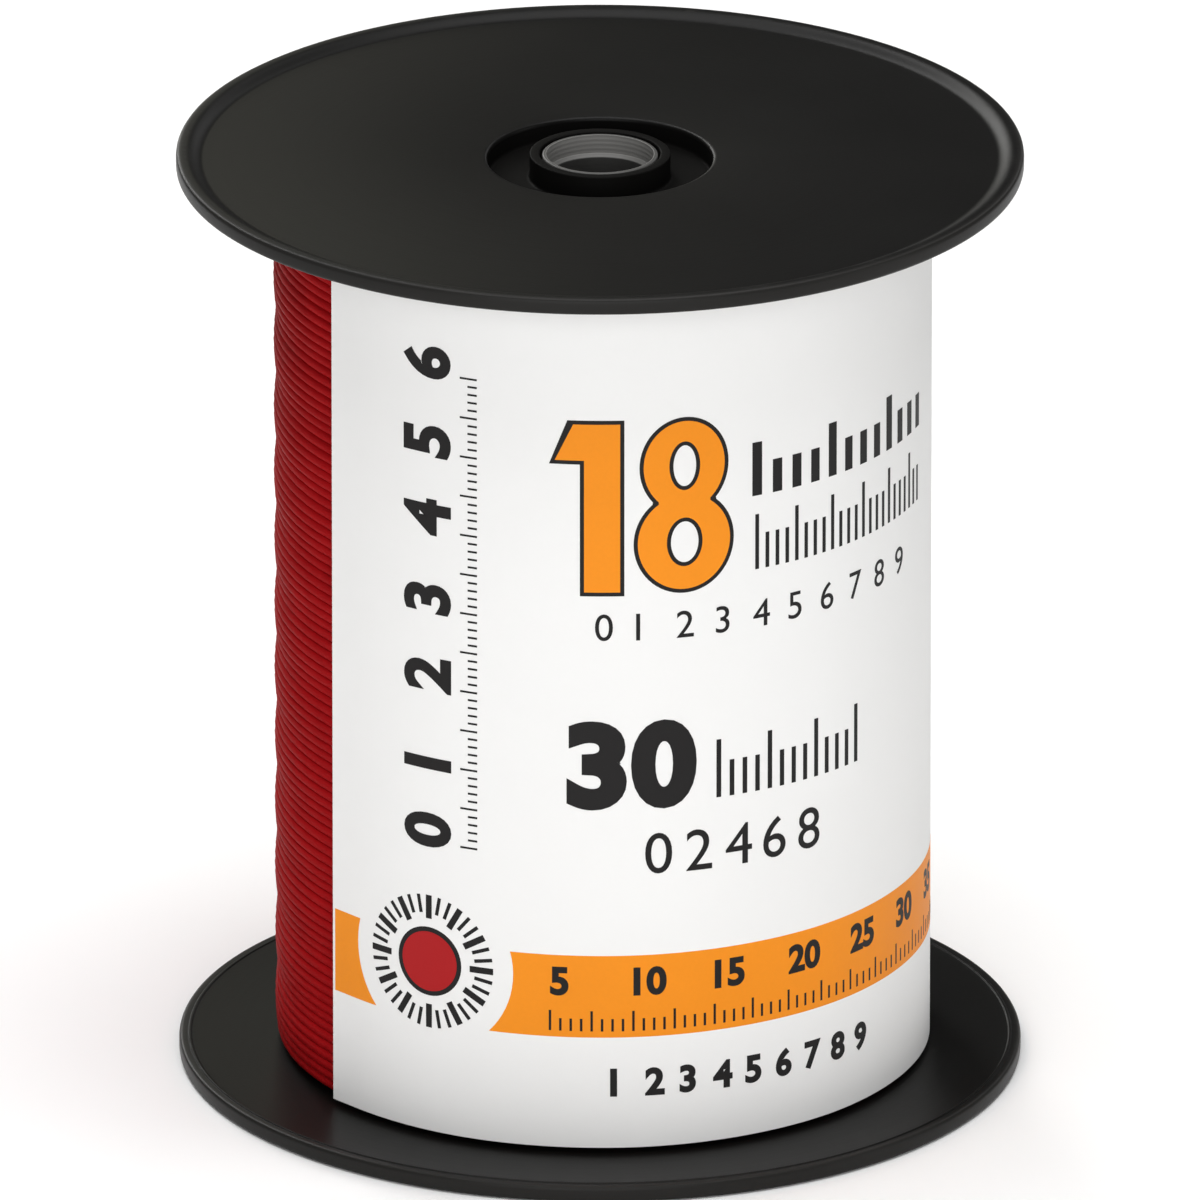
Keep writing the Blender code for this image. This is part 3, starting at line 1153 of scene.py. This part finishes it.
# The band and its long scale
BAND_LEFT_MARGIN = 0.0004
BAND_RIGHT_MARGIN = 0.0006
BAND_START = -0.0060
BAND_END = 0.0060
BAND_STEP = 0.0100
BAND_COUNTS_BY = 5
BAND_TICKS_A_STEP = 8
BAND_TICK_RISE = 0.0008
BAND_FIGURE = {"low": 0.0222, "height": 0.0037, "weight": BOLD}
BAND_TICKS = {"width": 0.0003, "height": 0.0016, "long_height": 0.0026, "long_every": 4}


def print_band(plate, ink, shape):
    """The orange band, which leaves a round space about the dial."""
    low = ink.band_low
    high = ink.band_high
    centre = DIAL_CENTRE
    reach_low = math.asin((low - centre[1]) / DIAL_CLEAR)
    reach_high = math.asin((high - centre[1]) / DIAL_CLEAR)
    right_end = circle_points(centre, DIAL_CLEAR, reach_high, reach_low, BAND_END_STEPS)
    right = shape.right - BAND_RIGHT_MARGIN
    plate.area([(right, low), (right, high)] + right_end, False)
    left_end = circle_points(centre, DIAL_CLEAR, math.pi - reach_low, math.pi - reach_high,
                             BAND_END_STEPS)
    left = shape.left + BAND_LEFT_MARGIN
    plate.area([(left, high), (left, low)] + left_end, False)


def print_dial(black, red):
    """A round dial of ticks with a swatch of the wire's colour in its middle."""
    mesh = dial_recipe().run(None, **DIAL_TICKS)
    mesh.transform(Matrix.Translation((*DIAL_CENTRE, black.level(True))))
    black.flat.from_mesh(mesh)
    bpy.data.meshes.remove(mesh)
    black.area(circle_points(DIAL_CENTRE, SWATCH_RADIUS + SWATCH_RING)[:-1], False)
    red.area(circle_points(DIAL_CENTRE, SWATCH_RADIUS)[:-1])


def oval(centre, across, up, side, steps=32):
    """Half of an oval at one side of its centre, from the bottom to the top."""
    points = []
    for step in range(steps + 1):
        turn = math.pi * (step / steps - 0.5)
        points.append((centre[0] + side * across * math.cos(turn),
                       centre[1] + up * math.sin(turn)))
    return points


def outside(point, centre, across, up):
    """Whether a point lies outside an oval."""
    return math.hypot((point[0] - centre[0]) / across, (point[1] - centre[1]) / up) > 1.0


def eight_bowl(bowl, halo):
    """The oval of one bowl of the 8 and the oval of its hole."""
    rise, across, up, hole_across, hole_up = bowl
    centre = (EIGHT_MIDDLE, NUMBER_LOW + rise)
    return (centre, across + halo, up + halo), (centre, hole_across - halo, hole_up - halo)


def print_large_number(plate, halo, second):
    """A large plain 18, or the wider shape behind it that leaves an outline."""
    left = ONE_LEFT - ONE_HALO_REACH * halo
    low = NUMBER_LOW - halo
    high = NUMBER_LOW + NUMBER_HEIGHT + halo
    stem = ONE_STEM[0] - halo
    right = ONE_STEM[1] + halo
    flag = NUMBER_LOW + NUMBER_HEIGHT - ONE_FLAG_DEPTH - halo
    plate.area([(stem, low), (right, low), (right, high), (left + ONE_FLAG_SLANT, high),
                (left, flag), (stem, flag)], second)

    (lower, lower_hole), (upper, upper_hole) = [eight_bowl(bowl, halo) for bowl in EIGHT_BOWLS]
    for side in (-1, 1):
        edge = [point for point in oval(*lower, side) if outside(point, *upper)]
        edge += [point for point in oval(*upper, side) if outside(point, *lower)]
        holes = oval(*upper_hole, side)[::-1] + oval(*lower_hole, side)[::-1]
        plate.area(edge + holes, second)


def print_front(black, orange):
    """The large plain numbers and the scales on the front of the label."""
    print_large_number(black, NUMBER_HALO, False)
    print_large_number(orange, 0.0, True)
    for text, left, low, height, weight, width in BOLD_FIGURES:
        black.figures(text, left, low, height, weight, width=width)
    for left, low, amount, spacing, width, height, long_height in TICK_ROWS:
        black.ticks_row(left, low, count=amount, spacing=spacing, width=width, height=height,
                        long_height=long_height, long_every=LONG_TICK_EVERY)
    for figures, left, low, pitch, height, weight in FIGURE_ROWS:
        for place, figure in enumerate(figures):
            black.figures(str(figure), left + place * pitch, low, height, weight)


def print_scales(black, ink, shape):
    """The upright scale at the left, and the long one on the band."""
    upright = UPRIGHT_FIGURES
    for index in range(upright["count"]):
        black.figures(str(index), upright["left"], upright["low"] + index * upright["pitch"],
                      upright["height"], BOLD, turn=math.pi / 2)
    black.ticks_row(*UPRIGHT_START, turn=math.pi / 2, **UPRIGHT_TICKS)
    amount = int((shape.right - BAND_END - BAND_START) / BAND_STEP)
    for index in range(amount):
        text = str((index + 1) * BAND_COUNTS_BY)
        black.figures(text, BAND_START + index * BAND_STEP, **BAND_FIGURE)
    black.ticks_row(BAND_START, ink.band_low + BAND_TICK_RISE,
                    count=amount * BAND_TICKS_A_STEP + 1,
                    spacing=BAND_STEP / BAND_TICKS_A_STEP, **BAND_TICKS)


class SPOOL_OT_print(bpy.types.Operator):
    """Print the band, the plain numbers and the scales on the label"""

    bl_idname = "wire_spool.print"
    bl_label = "Print on the label"

    def execute(self, context):
        settings = context.scene.wire_spool
        ink = settings.ink
        shape = LabelShape(settings.label)
        ticks = tick_recipe()
        black = Plate(ink, shape, ticks)
        orange = Plate(ink, shape, ticks)
        red = Plate(ink, shape, ticks)
        print_band(orange, ink, shape)
        print_dial(black, red)
        print_front(black, orange)
        print_scales(black, ink, shape)
        black.wrapped("label_print_black", printed_ink("black_ink", ink.black))
        orange.wrapped("label_print_orange", printed_ink("orange_ink", ink.orange))
        red.wrapped("label_print_red", printed_ink("red_ink", ink.swatch))
        return {"FINISHED"}


# Stage

PLAIN_LIGHT = (1.0, 1.0, 1.0)
WARM_LIGHT = (1.0, 0.98, 0.80)

# Lamps: name, azimuth and elevation in degrees, distance, width, height and colour
LAMPS = (
    ("key", -4.0, 17.0, 1.0, 0.95, 0.55, PLAIN_LIGHT),
    ("side", 80.0, 14.0, 1.0, 0.4, 0.45, PLAIN_LIGHT),
    ("top", 0.0, 88.0, 1.4, 1.4, 1.4, PLAIN_LIGHT),
    ("strip", -157.0, 32.0, 1.2, 0.24, 1.1, PLAIN_LIGHT),
    ("edge", 157.0, 32.0, 1.2, 0.24, 1.1, PLAIN_LIGHT),
    ("glow", -162.0, 20.0, 0.32, 0.15, 0.24, WARM_LIGHT),
)


def direction(azimuth, elevation):
    """Direction from the spool, with azimuth from the front towards the right."""
    return Vector((math.sin(azimuth) * math.cos(elevation),
                   -math.cos(azimuth) * math.cos(elevation), math.sin(elevation)))


def soft_box(name, azimuth, elevation, distance, width, height, light, watts):
    """A soft lamp that faces the middle of the spool."""
    lamp = bpy.data.lights.new(name, "AREA")
    lamp.shape = "RECTANGLE"
    lamp.size = width
    lamp.size_y = height
    lamp.energy = watts
    lamp.color = light
    stand = bpy.data.objects.new(name, lamp)
    bpy.context.scene.collection.objects.link(stand)
    back = direction(math.radians(azimuth), math.radians(elevation))
    stand.location = Vector((0.0, 0.0, SPOOL_HEIGHT / 2)) + back * distance
    stand.rotation_mode = "QUATERNION"
    stand.rotation_quaternion = (-back).to_track_quat("-Z", "Y")
    stand.visible_camera = False


def pale_floor(base):
    """Plain pale floor with hardly any variation."""
    finish = Finish("pale_floor")
    cloud = finish.noise(6.0, finish.place, 2.0)
    return finish.set(BaseColor=finish.blend(cloud, tint(base, 0.995), tint(base, 1.005)),
                      Roughness=0.9, SpecularIORLevel=0.0)


class SPOOL_OT_stage(bpy.types.Operator):
    """Set up the floor, the lamps and the camera"""

    bl_idname = "wire_spool.stage"
    bl_label = "Stage"

    def execute(self, context):
        scene = context.scene
        stage = scene.wire_spool.stage
        builder = bmesh.new()
        bmesh.ops.create_circle(builder, cap_ends=True, segments=96, radius=stage.floor_radius)
        mesh = bpy.data.meshes.new("floor")
        builder.to_mesh(mesh)
        builder.free()
        mesh.transform(Matrix.Translation((0.0, 0.0, -stage.floor_drop)))
        mesh.materials.append(pale_floor(stage.floor))
        floor = bpy.data.objects.new("floor", mesh)
        scene.collection.objects.link(floor)

        for lamp in LAMPS:
            soft_box(*lamp, getattr(stage, lamp[0]))

        world = bpy.data.worlds.new("studio")
        world.use_nodes = True
        around = world.node_tree.nodes["Background"]
        around.inputs["Color"].default_value = (1.0, 1.0, 1.0, 1.0)
        around.inputs["Strength"].default_value = stage.surround
        scene.world = world
        scene.view_settings.view_transform = "Standard"

        camera = bpy.data.cameras.new("camera")
        camera.sensor_width = 36.0
        camera.lens = camera.sensor_width * stage.distance / stage.frame_width
        camera.clip_start = 0.1
        camera.clip_end = 50.0
        eye = bpy.data.objects.new("camera", camera)
        scene.collection.objects.link(eye)
        back = direction(0.0, stage.elevation)
        eye.location = Vector((0.0, 0.0, stage.aim_height)) + back * stage.distance
        eye.rotation_mode = "QUATERNION"
        eye.rotation_quaternion = (-back).to_track_quat("-Z", "Y")
        scene.camera = eye
        return {"FINISHED"}


# Add-on


class SPOOL_PT_panel(bpy.types.Panel):
    """Panel that lists the pieces of the spool"""

    bl_idname = "SPOOL_PT_panel"
    bl_label = "Wire spool"
    bl_space_type = "VIEW_3D"
    bl_region_type = "UI"
    bl_category = "Wire spool"

    def draw(self, context):
        settings = context.scene.wire_spool
        groups = (("wire_spool.flanges", settings.flange), ("wire_spool.bore", settings.sleeve),
                  ("wire_spool.winding", settings.wire), ("wire_spool.label", settings.label),
                  ("wire_spool.print", settings.ink), ("wire_spool.stage", settings.stage))
        for operator, group in groups:
            box = self.layout.box()
            box.operator(operator)
            for name in group.__annotations__:
                box.prop(group, name)


CLASSES = (FlangeSettings, SleeveSettings, WireSettings, LabelSettings, PrintSettings,
           StageSettings, SpoolSettings, SPOOL_OT_flanges, SPOOL_OT_bore, SPOOL_OT_winding,
           SPOOL_OT_label, SPOOL_OT_print, SPOOL_OT_stage, SPOOL_PT_panel)


def register():
    for one in CLASSES:
        bpy.utils.register_class(one)
    bpy.types.Scene.wire_spool = bpy.props.PointerProperty(type=SpoolSettings)


def unregister():
    del bpy.types.Scene.wire_spool
    for one in reversed(CLASSES):
        bpy.utils.unregister_class(one)


def main():
    """Make every piece in order."""
    register()
    bpy.ops.wire_spool.flanges()
    bpy.ops.wire_spool.bore()
    bpy.ops.wire_spool.winding()
    bpy.ops.wire_spool.label()
    bpy.ops.wire_spool.print()
    bpy.ops.wire_spool.stage()


if __name__ == "__main__":
    main()
